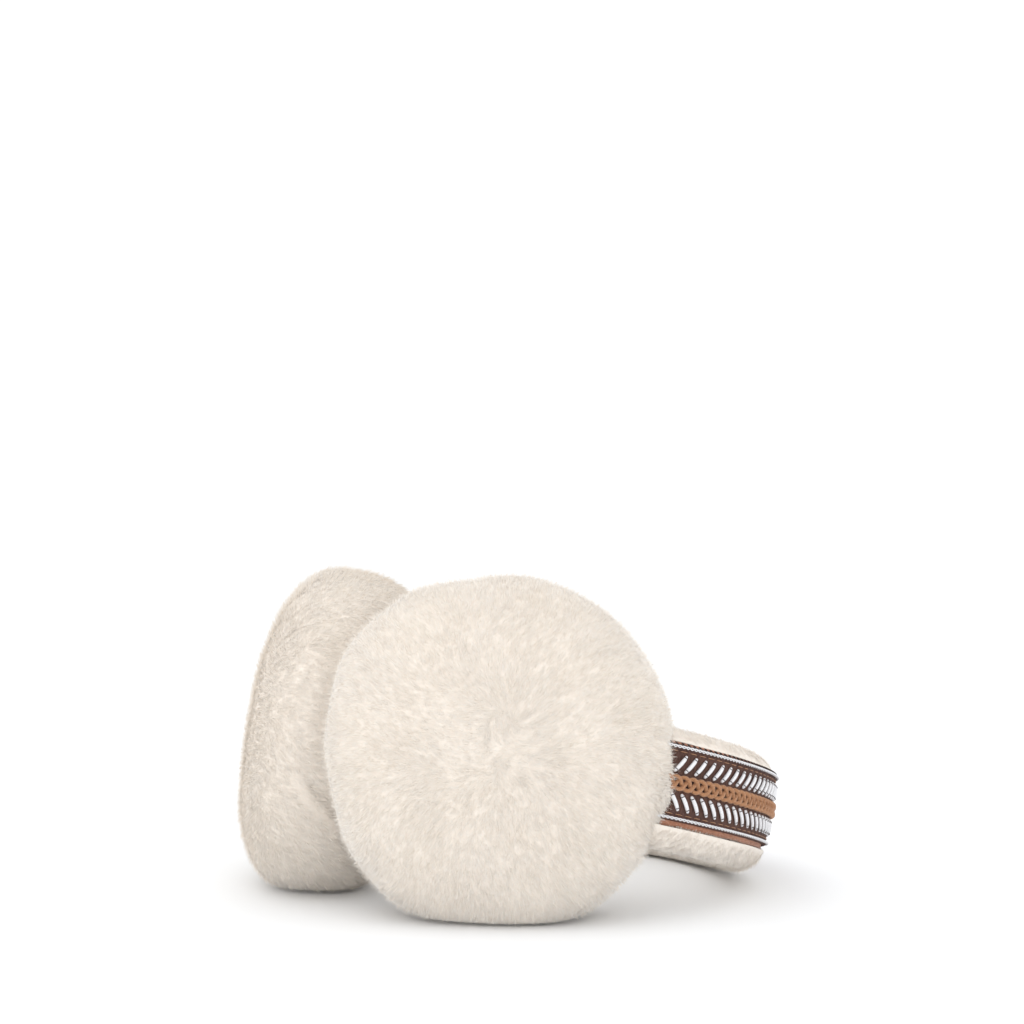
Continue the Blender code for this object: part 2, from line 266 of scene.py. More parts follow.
# Tan running stitches and dark edge stitches
RUNNING_RISE = 8.75 * MM
RUNNING_PITCH = 3.1 * MM
RUNNING_LENGTH = 2.6 * MM
RUNNING_SHIFT = 0.25
RUNNING_LIFT = 0.02 * MM
RUNNING_ARCH = 0.16 * MM
RUNNING_RADIUS = 0.13 * MM
EDGE_STITCH_PITCH = 1.9 * MM
EDGE_STITCH_LENGTH = 0.9 * MM
EDGE_STITCH_INSET = 0.3 * MM
EDGE_STITCH_RISE = 0.75 * MM
EDGE_STITCH_LIFT = 0.18 * MM
EDGE_STITCH_DIVE = 0.75 * MM
EDGE_STITCH_RADIUS = 0.24 * MM
SMALL_STITCH_STEPS = 6
SMALL_STITCH_SIDES = 5
THREAD_FULLNESS = 0.4

# Colours; a pair is the darkest and the lightest of a material, and a dim one darkens parts of it
SHEEN_ROUGHNESS = 0.5
WHITE = (1.0, 1.0, 1.0)
# The root and middle colours are darker and warmer than the tip's: painted shade deep in the coat of hairs,
# laid on from root to tip
FUR_ROOT_PAINTED_SHADE = (0.850, 0.782, 0.707)
FUR_MIDDLE_PAINTED_HALF_SHADE = (0.875, 0.82, 0.75)
FUR_TIP = (0.868, 0.850, 0.815)
HAIR_DIM = (0.975, 0.967, 0.96)
TUFT_DIM = (0.98, 0.975, 0.965)
PATCH_DIM = (0.98, 0.97, 0.955)
GROUND = ((0.845, 0.765, 0.68), (0.885, 0.82, 0.745))
RIBBON = ((0.052, 0.026, 0.020), (0.155, 0.080, 0.062))
RIBBON_DIM = (0.85, 0.85, 0.85)
SUEDE = ((0.46, 0.18, 0.10), (0.70, 0.35, 0.225))
SUEDE_DIM = (0.82, 0.80, 0.78)
WHITE_THREAD = ((0.74, 0.74, 0.76), (0.90, 0.90, 0.92))
TAN_THREAD = ((0.29, 0.13, 0.060), (0.50, 0.26, 0.135))
DARK_THREAD = ((0.020, 0.010, 0.009), (0.060, 0.034, 0.028))

# Sockets of the node that mixes two colours
MIX_SHARE = 0
MIX_FIRST = 6
MIX_SECOND = 7
MIX_RESULT = 2

# Samples of the traced curves, the waves in a ripple, the spread of their lengths, and the two least lengths
SAMPLES = 400
WAVES = 14
WAVE_SPREAD = (1.3, 2.6)
WELD_DISTANCE = 1e-7
LEAST_LENGTH = 1e-12


def plane_to_world(points):
    """Points of the headband's own plane, set on the floor."""
    cosine = math.cos(PLANE_SLOPE)
    sine = math.sin(PLANE_SLOPE)
    x, y, z = np.moveaxis(np.asarray(points, float), -1, 0)
    turned = np.stack([x, cosine * y + sine * z, cosine * z - sine * y], axis=-1)
    return turned + np.array(PLANE_PLACE)


def trace_half_band():
    """Distances along the right half of the band's middle line, with its turn and its x and y there."""
    along = np.linspace(0, BAND_HALF_LENGTH, SAMPLES)
    share = along / BAND_HALF_LENGTH
    turned = along / BAND_BEND_RADIUS * (1 + BAND_END_TIGHTENING * share**2 / 3)
    step = along[1]
    middle = (turned[1:] + turned[:-1]) / 2
    x = np.concatenate([[0], np.cumsum(np.cos(middle)) * step])
    y = -np.concatenate([[0], np.cumsum(np.sin(middle)) * step])
    return along, turned, x, y


HALF_BAND = trace_half_band()


def plane_points(along, out, rise):
    """Points in the headband's plane frame; the right half has positive distances along."""
    along, out, rise = np.broadcast_arrays(along, out, rise)
    distances, turned, x, y = HALF_BAND
    angle = np.interp(np.abs(along), distances, turned)
    at_x = np.interp(np.abs(along), distances, x) + out * np.sin(angle)
    at_y = np.interp(np.abs(along), distances, y) + out * np.cos(angle)
    side = np.where(along < 0, -1, 1)
    return np.stack([side * at_x, at_y, rise], axis=-1)


def band_points(along, out, rise):
    """Points of the headband, set on the floor."""
    return plane_to_world(plane_points(along, out, rise))


def pad_frame():
    """Centre of the right pad in the plane frame, its outward axis, the way on from the band, and up."""
    end = plane_points(BAND_HALF_LENGTH, 0.0, 0.0)
    out = plane_points(BAND_HALF_LENGTH, 1.0, 0.0) - end
    cosine = math.cos(PAD_TURN)
    sine = math.sin(PAD_TURN)
    axis = np.array([out[0] * cosine - out[1] * sine, out[0] * sine + out[1] * cosine, 0])
    onward = np.array([axis[1], -axis[0], 0])
    up = np.array([0, 0, 1.0])
    leaning = math.cos(PAD_LEAN) * axis - math.sin(PAD_LEAN) * up
    raised = math.cos(PAD_LEAN) * up + math.sin(PAD_LEAN) * axis
    return end - PAD_SET_IN * out, leaning, onward, raised


PAD_FRAME = pad_frame()


def outline_shares(turn):
    """Radius share of a pad's outline, blended smoothly between the rows of OUTLINE."""
    degrees = np.degrees(turn) % 360
    starts = np.array([row.degrees for row in OUTLINE] + [360.0])
    shares = np.array([row.share for row in OUTLINE] + [OUTLINE[0].share])
    row = np.clip(np.searchsorted(starts, degrees, side="right") - 1, 0, len(OUTLINE) - 1)
    part = (degrees - starts[row]) / (starts[row + 1] - starts[row])
    blend = (1 - np.cos(np.pi * part)) / 2
    return shares[row] + (shares[row + 1] - shares[row]) * blend


def pad_profile():
    """Distances round a pad from its outer to its inner pole, with the radius and height there."""
    angle = np.linspace(0, math.pi, SAMPLES)
    cosine = np.cos(angle)
    power = 2 / np.where(cosine > 0, PAD_OUTER_ROUNDNESS, PAD_INNER_ROUNDNESS)
    depth = np.where(cosine > 0, PAD_OUTER_DEPTH, PAD_INNER_DEPTH)
    radius = PAD_RADIUS * np.abs(np.sin(angle)) ** power
    height = np.sign(cosine) * np.abs(cosine) ** power * depth
    steps = np.hypot(np.diff(radius), np.diff(height))
    return np.concatenate([[0], np.cumsum(steps)]), radius, height


PAD_PROFILE = pad_profile()


def pad_points(polar, turn, side):
    """Points of a pad's fur surface; polar runs from 0 at the outer pole to 1 at the inner one."""
    distances, radii, heights = PAD_PROFILE
    radius = np.interp(polar * distances[-1], distances, radii) * outline_shares(turn)
    height = np.interp(polar * distances[-1], distances, heights)
    centre, axis, onward, up = PAD_FRAME
    radial = np.cos(turn)[..., None] * onward + np.sin(turn)[..., None] * up
    points = centre + height[..., None] * axis + radius[..., None] * radial
    return plane_to_world(points * np.array([side, 1, 1]))


def unit(vectors):
    """The vectors at length 1."""
    length = np.linalg.norm(vectors, axis=-1, keepdims=True)
    return vectors / np.maximum(length, LEAST_LENGTH)


def ripple(points, size, seed):
    """Smooth noise at points, about -1 to 1, with features of that size."""
    dice = np.random.default_rng(seed)
    directions = unit(dice.normal(size=(WAVES, 3)))
    lengths = size * dice.uniform(*WAVE_SPREAD, size=WAVES)
    phases = dice.uniform(0, 2 * np.pi, size=WAVES)
    angles = points @ (directions * (2 * np.pi / lengths)[:, None]).T + phases
    return np.sin(angles).sum(axis=-1) / math.sqrt(WAVES / 2) / 2


def ripple_vectors(points, size, seed):
    """Three ripples at points, as a vector at each."""
    return np.stack([ripple(points, size, seed + n) for n in range(3)], axis=-1)


def grid_faces(rows, columns, wrap=False):
    """Quads of a grid of points; wrap joins the last column to the first."""
    row, column = np.meshgrid(np.arange(rows - 1), np.arange(columns - (not wrap)), indexing="ij")
    after = (column + 1) % columns
    corners = [row * columns + column, row * columns + after]
    corners += [(row + 1) * columns + after, (row + 1) * columns + column]
    return np.stack(corners, axis=-1).reshape(-1, 4)


def vertex_normals(points, quads):
    """Normals at the points, each from the quads round it."""
    a, b, c, d = (points[quads[:, n]] for n in range(4))
    across = np.cross(c - a, d - b)
    normals = np.zeros_like(points)
    for n in range(4):
        np.add.at(normals, quads[:, n], across)
    return unit(normals)


# A fur surface: its points, outward normals, the way that the hairs lean there, and its quads
Skin = namedtuple("Skin", "points normals combs quads")


def facing_out(points, quads, middle):
    """Normals and quads turned to face away from the middle points."""
    normals = vertex_normals(points, quads)
    if ((points - middle) * normals).sum() < 0:
        return -normals, quads[:, ::-1]
    return normals, quads


def settle(points, side=0):
    """Points pressed softly onto the floor and, for a pad, up to the plane midway between the pads."""
    settled = points.copy()
    low = settled[:, 2] < PRESS_START
    settled[low, 2] = PRESS_START * np.exp((settled[low, 2] - PRESS_START) / PRESS_START)
    if side:
        inner = side * settled[:, 0]
        near = inner < PRESS_START
        settled[near, 0] = side * PRESS_START * np.exp((inner[near] - PRESS_START) / PRESS_START)
    return settled


def along_skin(vectors, normals):
    """What is left of the vectors without their part across the skin."""
    return vectors - normals * (vectors * normals).sum(axis=1, keepdims=True)


def crease_distance(points):
    """Distance of each point from the line of the fold."""
    share = np.linspace(0, len(CREASE) - 1, CREASE_SAMPLES)
    line = np.stack([np.interp(share, range(len(CREASE)), axis) for axis in zip(*CREASE)], axis=1)
    return np.linalg.norm(points[:, None, :] - line[None], axis=2).min(axis=1)


def pad_skin(side):
    """The fur surface of one pad, a grid of rings from its outer to its inner pole."""
    polar = np.linspace(0, 1, PAD_ROWS)[:, None] + np.zeros((1, PAD_COLUMNS))
    turn = np.linspace(0, 2 * np.pi, PAD_COLUMNS, endpoint=False)[None, :] + np.zeros((PAD_ROWS, 1))
    points = pad_points(polar, turn, side).reshape(-1, 3)
    poles = points[:PAD_COLUMNS].mean(axis=0), points[-PAD_COLUMNS:].mean(axis=0)
    axis = unit(poles[0] - poles[1])
    faces = grid_faces(PAD_ROWS, PAD_COLUMNS, wrap=True)
    normals, quads = facing_out(points, faces, (poles[0] + poles[1]) / 2)
    normals[:PAD_COLUMNS] = axis
    normals[-PAD_COLUMNS:] = -axis
    away = np.gradient(points.reshape(PAD_ROWS, PAD_COLUMNS, 3), axis=0).reshape(-1, 3)
    radius = np.linalg.norm(np.cross(points - poles[0], axis), axis=1, keepdims=True)
    whorl = np.minimum(radius / WHORL_RADIUS, 1) ** WHORL_SOFTNESS
    combs = whorl * unit(away) + PAD_DRIFT * ripple_vectors(points, PAD_DRIFT_SIZE, PAD_DRIFT_SEED + side)
    combs += PAD_FINE_DRIFT * ripple_vectors(points, FINE_DRIFT_SIZE, PAD_FINE_DRIFT_SEED + side)
    combs = unit(along_skin(combs, normals))
    swell = PAD_SWELL * ripple(points, PAD_SWELL_SIZE, PAD_SWELL_SEED + side)
    entry = band_points(side * BARE_HALF_LENGTH, RIBBON_OUT, ENTRY_RISE)
    reach = np.linalg.norm(points - entry, axis=1) / ENTRY_REACH
    swell += ENTRY_SWELL * np.exp(-(reach**4))
    if side < 0:
        swell -= CREASE_DEPTH * np.exp(-((crease_distance(points) / CREASE_WIDTH) ** 2))
    points = points + normals * swell[:, None]
    return Skin(points, normals, combs, quads)


def fur_section(count):
    """(out, rise) round the fur strip, from the suede's lower side, under and behind, to its upper side."""
    middle = FUR_MIDDLE_RISE
    half = FUR_WIDTH / 2
    power = 2 / FUR_ROUNDNESS

    def at(angle):
        depth = np.where(np.cos(angle) > 0, FUR_OUTER_DEPTH, FUR_INNER_DEPTH)
        out = np.sign(np.cos(angle)) * np.abs(np.cos(angle)) ** power * depth
        rise = middle + np.sign(np.sin(angle)) * np.abs(np.sin(angle)) ** power * half
        return out, rise

    def angle_of(rise):
        share = (rise - middle) / half
        return math.asin(math.copysign(abs(share) ** (1 / power), share))

    start = angle_of(SUEDE_BOTTOM - SEAT_GAP)
    end = angle_of(SUEDE_TOP + SEAT_GAP) - 2 * math.pi
    out, rise = at(np.linspace(start, end, SAMPLES))
    travelled = np.concatenate([[0], np.cumsum(np.hypot(np.diff(out), np.diff(rise)))])
    wanted = np.linspace(0, travelled[-1], count)
    return np.interp(wanted, travelled, out), np.interp(wanted, travelled, rise)


def edge_lean(out, rise):
    """Lean of the hairs round the section, small beside the suede so that no root reaches over it."""
    travelled = np.concatenate([[0], np.cumsum(np.hypot(np.diff(out), np.diff(rise)))])
    share = np.clip(np.minimum(travelled, travelled[-1] - travelled) / HAIR_LENGTH, 0, FULL_LEAN)
    return HAIR_RISE * share / np.sqrt(1 - share**2)


def band_skin():
    """The fur surface of the headband, a grid of sections from its left to its right end."""
    out, rise = fur_section(BAND_COLUMNS)
    along = np.linspace(-BARE_HALF_LENGTH - BAND_RUN_IN, BARE_HALF_LENGTH + BAND_RUN_IN, BAND_ROWS)
    points = band_points(along[:, None], out[None, :], rise[None, :]).reshape(-1, 3)
    middle = band_points(along, 0.0, FUR_MIDDLE_RISE)
    middles = np.repeat(middle, BAND_COLUMNS, axis=0)
    normals, quads = facing_out(points, grid_faces(BAND_ROWS, BAND_COLUMNS), middles)
    onward = unit(np.gradient(middle, axis=0)) * np.tanh(along / APEX_BLEND)[:, None]
    around = unit(np.gradient(points.reshape(BAND_ROWS, BAND_COLUMNS, 3), axis=1))
    around *= -np.tanh(np.linspace(-PARTING_SHARPNESS, PARTING_SHARPNESS, BAND_COLUMNS))[None, :, None]
    combs = around.reshape(-1, 3) + ONWARD_SHARE * np.repeat(onward, BAND_COLUMNS, axis=0)
    drift = BAND_DRIFT * ripple_vectors(points, BAND_DRIFT_SIZE, BAND_DRIFT_SEED)
    combs += drift + BAND_FINE_DRIFT * ripple_vectors(points, FINE_DRIFT_SIZE, BAND_FINE_DRIFT_SEED)
    combs = unit(along_skin(combs, normals)) * np.tile(edge_lean(out, rise), BAND_ROWS)[:, None]
    swell = BAND_SWELL * ripple(points, BAND_SWELL_SIZE, BAND_SWELL_SEED)
    points = points + normals * swell[:, None]
    return Skin(points, normals, combs, quads)


def scatter(skin, count, dice):
    """Even random places on a skin: points, normals and combs."""
    triangles = np.concatenate([skin.quads[:, [0, 1, 2]], skin.quads[:, [0, 2, 3]]])
    corners = skin.points[triangles]
    across = np.cross(corners[:, 1] - corners[:, 0], corners[:, 2] - corners[:, 0])
    areas = np.linalg.norm(across, axis=1)
    chosen = triangles[dice.choice(len(triangles), size=count, p=areas / areas.sum())]
    first, second = dice.random((2, count))
    over = first + second > 1
    first[over] = 1 - first[over]
    second[over] = 1 - second[over]
    weights = np.stack([1 - first - second, first, second], axis=1)[..., None]
    return tuple((values[chosen] * weights).sum(axis=1) for values in skin[:3])


def nearest(points, spots):
    """Index of the spot nearest to each point."""
    tree = kdtree.KDTree(len(spots))
    for n, spot in enumerate(spots):
        tree.insert(spot, n)
    tree.balance()
    return np.array([tree.find(point)[1] for point in points])


def new_mesh(name, points, faces, material):
    """An object from points and equal-sized faces, shaded smooth."""
    mesh = bpy.data.meshes.new(name)
    faces = np.asarray(faces)
    mesh.vertices.add(len(points))
    mesh.vertices.foreach_set("co", np.asarray(points, np.float32).ravel())
    mesh.loops.add(faces.size)
    mesh.loops.foreach_set("vertex_index", faces.astype(np.int32).ravel())
    mesh.polygons.add(len(faces))
    starts = np.arange(0, faces.size, faces.shape[1], dtype=np.int32)
    mesh.polygons.foreach_set("loop_start", starts)
    mesh.update(calc_edges=True)
    mesh.shade_smooth()
    mesh.materials.append(material)
    obj = bpy.data.objects.new(name, mesh)
    bpy.context.scene.collection.objects.link(obj)
    return obj


def weld(obj):
    """Joins the points that meet where a pad, tube or strip closes, so that no face there lacks area."""
    mesh = bmesh.new()
    mesh.from_mesh(obj.data)
    bmesh.ops.remove_doubles(mesh, verts=mesh.verts, dist=WELD_DISTANCE)
    mesh.to_mesh(obj.data)
    mesh.free()
    return obj


def place_piece(obj, slot, *nodes):
    """Puts a piece on the one body and hides the CAD nodes that it stands for. The slot is not used."""
    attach(obj, "root")
    if nodes:
        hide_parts(*nodes)
    return obj


def set_colours(obj, name, values):
    """Stores three values at each point of an object, which its material reads as a colour."""
    attribute = obj.data.color_attributes.new(name, "FLOAT_COLOR", "POINT")
    filled = np.ones((len(values), 4), np.float32)
    filled[:, : values.shape[1]] = values
    attribute.data.foreach_set("color", filled.ravel())


def grow(name, skin, count, material, seed, side=0, fluff=1.0):
    """A coat of thin blades: most lie over each other along the skin, and the fuzz stands out of them.

    The tips are near the skin, gathered in tufts, and the roots are inside it, against the combing. Lying
    hairs take their shading from the skin, and the fuzz from its own faces.
    """
    dice = np.random.default_rng(seed)
    points, normals, combs = scatter(skin, count, dice)
    normals = unit(normals)
    fuzz = dice.random(count) < FUZZ_SHARE
    rise = np.where(fuzz, FUZZ_RISE, HAIR_RISE)[:, None]
    combed = np.clip(np.linalg.norm(combs, axis=1), LEAST_COMBED, 1)
    stray = HAIR_STRAY * combed[:, None] * dice.normal(size=(count, 3))
    way = unit(rise * normals + combs + stray)
    proud = dice.triangular(*LAY_HEIGHTS_MM, size=count) * MM
    proud[fuzz] = fluff * dice.triangular(*FUZZ_HEIGHTS_MM, size=fuzz.sum()) * MM
    proud *= combed
    tufts = dice.choice(count, size=count // HAIRS_PER_TUFT, replace=False)
    tuft = nearest(points, points[tufts])
    gather = TUFT_GATHER * dice.random(count) ** GATHER_BIAS
    tips = points + (points[tufts][tuft] - points) * gather[:, None] + normals * proud[:, None]
    length = HAIR_LENGTH * dice.uniform(*LENGTH_SPREAD, size=count)
    roots = tips - way * length[:, None]
    face = unit(along_skin(normals, way))
    turned = np.where(fuzz, dice.uniform(0, 2 * np.pi, size=count), 0)[:, None]
    face = face * np.cos(turned) + np.cross(way, face) * np.sin(turned)
    width = np.where(fuzz, FUZZ_WIDTH, HAIR_WIDTH) * dice.uniform(*WIDTH_SPREAD, size=count)
    across = np.cross(way, face) * width[:, None] / 2
    hairs = np.stack([roots - across, roots + across, tips], axis=1)
    faces = np.arange(count * 3).reshape(-1, 3)
    obj = new_mesh(name, settle(hairs.reshape(-1, 3), side), faces, material)
    shading = unit(normals + SHADING_TILT * dice.normal(size=(count, 3)))
    shading = np.where(fuzz[:, None], face, shading)
    obj.data.normals_split_custom_set_from_vertices(np.repeat(shading, 3, axis=0).tolist())
    # 0 at the roots and 1 at the tips; the material paints shade on the hairs from it, darkest at the roots
    height = np.tile([0.0, 0.0, 1.0], count)
    single = np.repeat(dice.random(count), 3)
    shared = np.repeat(dice.random(len(tufts))[tuft], 3)
    set_colours(obj, "hair", np.stack([height, single, shared], axis=1))
    return place_piece(obj, "cream_fur")


def hide_body(name, skin, material, side=0):
    """The body under the hairs, a little inside the skin that they grow to."""
    points = settle(skin.points - skin.normals * HIDE_DEPTH, side)
    return weld(new_mesh(name, points, skin.quads, material))


def tube(path, outwards, radii, sides, ridges=0, twist=0.0, depth=0.0, flat=1.0):
    """Points and quads of a tube along a path.

    outwards is a direction at each path point that leans away from the surface under it. Ridges of that
    depth wind round the tube by twist radians from end to end, and flat scales it outwards.
    """
    path = np.asarray(path, float)
    tangents = unit(np.gradient(path, axis=0))
    beside = unit(np.cross(tangents, outwards))
    above = np.cross(beside, tangents)
    angles = np.arange(sides) * 2 * np.pi / sides
    wind = np.linspace(0, twist, len(path))[:, None]
    swell = 1 + depth * np.cos(ridges * angles[None, :] + wind)
    reach = np.asarray(radii, float).reshape(-1, 1) * swell
    points = path[:, None, :] + (reach * np.cos(angles))[..., None] * beside[:, None, :]
    points = points + (reach * np.sin(angles) * flat)[..., None] * above[:, None, :]
    quads = grid_faces(len(path), sides, wrap=True)[:, ::-1]
    return points.reshape(-1, 3), quads


def joined(name, parts, material):
    """One object from many (points, faces) parts."""
    points = np.concatenate([part[0] for part in parts])
    offsets = np.cumsum([0] + [len(part[0]) for part in parts[:-1]])
    faces = np.concatenate([part[1] + offset for part, offset in zip(parts, offsets)])
    return weld(new_mesh(name, points, faces, material))


def outwards_at(along):
    """Directions straight out of the headband at distances along it."""
    return unit(band_points(along, 1.0, 0.0) - band_points(along, 0.0, 0.0))


def thread(along, out, rise, radii, sides, **shape):
    """A tube through points of the headband's surface."""
    along, out, rise = np.broadcast_arrays(along, out, rise)
    return tube(band_points(along, out, rise), outwards_at(along), radii, sides, **shape)


def rounded_radii(radius, count):
    """Radii of a thread that comes up out of the cloth and dives back into it."""
    return radius * np.sin(np.linspace(0, math.pi, count)) ** THREAD_FULLNESS


def closed_radii(radius, count):
    """Radii of an even thread whose two ends are drawn to a point."""
    radii = np.full(count, radius)
    radii[[0, -1]] = 0
    return radii


def strip_mesh(name, rows, section, material, shaped):
    """A closed strip swept along the headband, its ends drawn together.

    section is a loop of (out, rise), and shaped returns both again for each point of the strip. The strip's
    texture coordinates are its distances along and across, in metres.
    """
    along = np.linspace(-TRIM_HALF_LENGTH, TRIM_HALF_LENGTH, rows)
    out, rise = (np.array(values)[None, :] + np.zeros((rows, 1)) for values in zip(*section))
    out, rise = shaped(along[:, None] + np.zeros_like(out), out, rise)
    for end in (0, -1):
        out[end] = out[end].mean()
        rise[end] = rise[end].mean()
    points = band_points(along[:, None], out, rise).reshape(-1, 3)
    middles = np.repeat(band_points(along, TRIM_MIDDLE_OUT, 0.0), len(section), axis=0)
    quads = facing_out(points, grid_faces(rows, len(section), wrap=True), middles)[1]
    obj = new_mesh(name, points, quads, material)
    layer = obj.data.uv_layers.new(name="strip")
    corners = np.empty(len(obj.data.loops), np.int32)
    obj.data.loops.foreach_get("vertex_index", corners)
    flat = np.stack([np.repeat(along, len(section)), rise.ravel()], axis=1)
    layer.data.foreach_set("uv", flat[corners].astype(np.float32).ravel())
    return weld(obj)


# Materials


def node_material(name, roughness, specular, sheen=0.0):
    """A new material, its node tree and its shader."""
    material = bpy.data.materials.new(name)
    material.use_nodes = True
    shader = material.node_tree.nodes["Principled BSDF"]
    shader.inputs["Roughness"].default_value = roughness
    shader.inputs["Specular IOR Level"].default_value = specular
    shader.inputs["Sheen Weight"].default_value = sheen
    shader.inputs["Sheen Roughness"].default_value = SHEEN_ROUGHNESS
    return material, material.node_tree, shader


def add_node(tree, kind, **settings):
    """A new node with those settings."""
    node = tree.nodes.new(kind)
    for key, value in settings.items():
        setattr(node, key, value)
    return node


def add_ramp(tree, stops, source):
    """Colour from a value; a stop is (value, colour)."""
    ramp = add_node(tree, "ShaderNodeValToRGB")
    elements = ramp.color_ramp.elements
    while len(elements) > 1:
        elements.remove(elements[-1])
    for n, (place, colour) in enumerate(stops):
        element = elements[0] if n == 0 else elements.new(place)
        element.position = place
        element.color = (*colour, 1.0)
    tree.links.new(source, ramp.inputs["Fac"])
    return ramp.outputs["Color"]


def add_noise(tree, scale, detail=2.0, roughness=0.5, stretch=None):
    """Noise on the object's own coordinates, or on the strip's flat ones where stretch scales them."""
    noise = add_node(tree, "ShaderNodeTexNoise")
    noise.inputs["Scale"].default_value = scale
    noise.inputs["Detail"].default_value = detail
    noise.inputs["Roughness"].default_value = roughness
    if stretch is None:
        coordinates = add_node(tree, "ShaderNodeTexCoord").outputs["Object"]
    else:
        mapping = add_node(tree, "ShaderNodeMapping")
        mapping.inputs["Scale"].default_value = stretch
        flat = add_node(tree, "ShaderNodeUVMap", uv_map="strip")
        tree.links.new(flat.outputs["UV"], mapping.inputs["Vector"])
        coordinates = mapping.outputs["Vector"]
    tree.links.new(coordinates, noise.inputs["Vector"])
    return noise.outputs["Fac"]


def add_dimming(tree, dim, source, low=0.0, high=1.0):
    """White where the source is high, and the dim colour where it is low."""
    return add_ramp(tree, ((low, dim), (high, WHITE)), source)


def multiply(tree, first, second):
    """The product of two colours."""
    mix = add_node(tree, "ShaderNodeMix", data_type="RGBA", blend_type="MULTIPLY")
    mix.inputs[MIX_SHARE].default_value = 1.0
    tree.links.new(first, mix.inputs[MIX_FIRST])
    tree.links.new(second, mix.inputs[MIX_SECOND])
    return mix.outputs[MIX_RESULT]


def add_bump(tree, shader, height, strength, distance):
    """Bumps on the shader's surface where the height changes."""
    bump = add_node(tree, "ShaderNodeBump")
    bump.inputs["Strength"].default_value = strength
    bump.inputs["Distance"].default_value = distance
    tree.links.new(height, bump.inputs["Height"])
    tree.links.new(bump.outputs["Normal"], shader.inputs["Normal"])


def hair_material():
    """Fur coloured from root to tip, with painted shade that darkens and warms it towards the roots; single
    hairs, tufts and wide patches differ a little.
    """
    material, tree, shader = node_material("shearling_hair", roughness=0.9, specular=0.1, sheen=0.7)
    hair = add_node(tree, "ShaderNodeAttribute", attribute_name="hair")
    parts = add_node(tree, "ShaderNodeSeparateColor")
    tree.links.new(hair.outputs["Color"], parts.inputs["Color"])
    # Darker, warmer stops towards the roots: painted shade deep in the coat
    stops = ((0.35, FUR_ROOT_PAINTED_SHADE), (0.62, FUR_MIDDLE_PAINTED_HALF_SHADE), (0.9, FUR_TIP))
    colour = add_ramp(tree, stops, parts.outputs["Red"])
    single = add_dimming(tree, HAIR_DIM, parts.outputs["Green"])
    tuft = add_dimming(tree, TUFT_DIM, parts.outputs["Blue"])
    patch = add_dimming(tree, PATCH_DIM, add_noise(tree, scale=45.0), low=0.35, high=0.65)
    for layer in (single, tuft, patch):
        colour = multiply(tree, colour, layer)
    tree.links.new(colour, shader.inputs["Base Color"])
    return material


def hide_material():
    """The dense short underfur between the hairs."""
    material, tree, shader = node_material("shearling_ground", roughness=0.95, specular=0.1, sheen=0.3)
    fine = add_noise(tree, scale=1100.0, detail=3.0)
    dark, light = GROUND
    colour = add_ramp(tree, ((0.3, dark), (0.7, light)), fine)
    tree.links.new(colour, shader.inputs["Base Color"])
    add_bump(tree, shader, fine, strength=0.3, distance=0.0005)
    return material


def ribbon_material():
    """Brown yarns that run across the ribbon, with faint wide patches."""
    material, tree, shader = node_material("ribbed_ribbon", roughness=0.85, specular=0.2, sheen=0.05)
    yarns = add_noise(tree, scale=1.0, stretch=(3800.0, 500.0, 1.0))
    dark, light = RIBBON
    colour = add_ramp(tree, ((0.3, dark), (0.72, light)), yarns)
    patch = add_dimming(tree, RIBBON_DIM, add_noise(tree, scale=60.0), low=0.3, high=0.7)
    tree.links.new(multiply(tree, colour, patch), shader.inputs["Base Color"])
    add_bump(tree, shader, yarns, strength=0.6, distance=0.0002)
    return material


def suede_material():
    """Rust suede with a fine nap that is stroked this way and that."""
    material, tree, shader = node_material("rust_suede", roughness=0.95, specular=0.1, sheen=0.4)
    nap = add_noise(tree, scale=1600.0, detail=4.0, roughness=0.6)
    dark, light = SUEDE
    colour = add_ramp(tree, ((0.3, dark), (0.7, light)), nap)
    patch = add_dimming(tree, SUEDE_DIM, add_noise(tree, scale=130.0), low=0.35, high=0.65)
    tree.links.new(multiply(tree, colour, patch), shader.inputs["Base Color"])
    add_bump(tree, shader, nap, strength=0.8, distance=0.0003)
    return material


def thread_material(name, colours):
    """Thread of fine fibres, from the darkest to the lightest of two colours."""
    material, tree, shader = node_material(name, roughness=0.8, specular=0.25, sheen=0.2)
    fibres = add_noise(tree, scale=3200.0)
    dark, light = colours
    tree.links.new(add_ramp(tree, ((0.3, dark), (0.7, light)), fibres), shader.inputs["Base Color"])
    add_bump(tree, shader, fibres, strength=0.5, distance=0.00015)
    return material


# Scene


def make_camera():
    """The photograph's camera."""
    data = bpy.data.cameras.new("camera")
    data.lens = CAMERA_LENS
    data.sensor_width = SENSOR_WIDTH
    data.clip_start = CLIP_START
    data.clip_end = CLIP_END
    camera = bpy.data.objects.new("camera", data)
    camera.location = CAMERA_PLACE
    level = math.cos(CAMERA_PITCH)
    ahead = (-math.sin(CAMERA_YAW) * level, math.cos(CAMERA_YAW) * level, math.sin(CAMERA_PITCH))
    camera.rotation_euler = Vector(ahead).to_track_quat("-Z", "Y").to_euler()
    bpy.context.scene.collection.objects.link(camera)
    bpy.context.scene.camera = camera


def make_light():
    """A white sky and three large lamps that face the middle of the floor."""
    world = bpy.data.worlds.new("studio")
    world.use_nodes = True
    sky = world.node_tree.nodes["Background"]
    sky.inputs["Color"].default_value = (1.0, 1.0, 1.0, 1.0)
    sky.inputs["Strength"].default_value = SKY_STRENGTH
    bpy.context.scene.world = world
    for row in LAMPS:
        data = bpy.data.lights.new(row.name, "AREA")
        data.shape = "SQUARE"
        data.size = row.size
        data.energy = row.power
        lamp = bpy.data.objects.new(row.name, data)
        lamp.location = row.place
        lamp.rotation_euler = (-Vector(row.place)).to_track_quat("-Z", "Y").to_euler()
        bpy.context.scene.collection.objects.link(lamp)
    bpy.context.scene.view_settings.view_transform = "Standard"


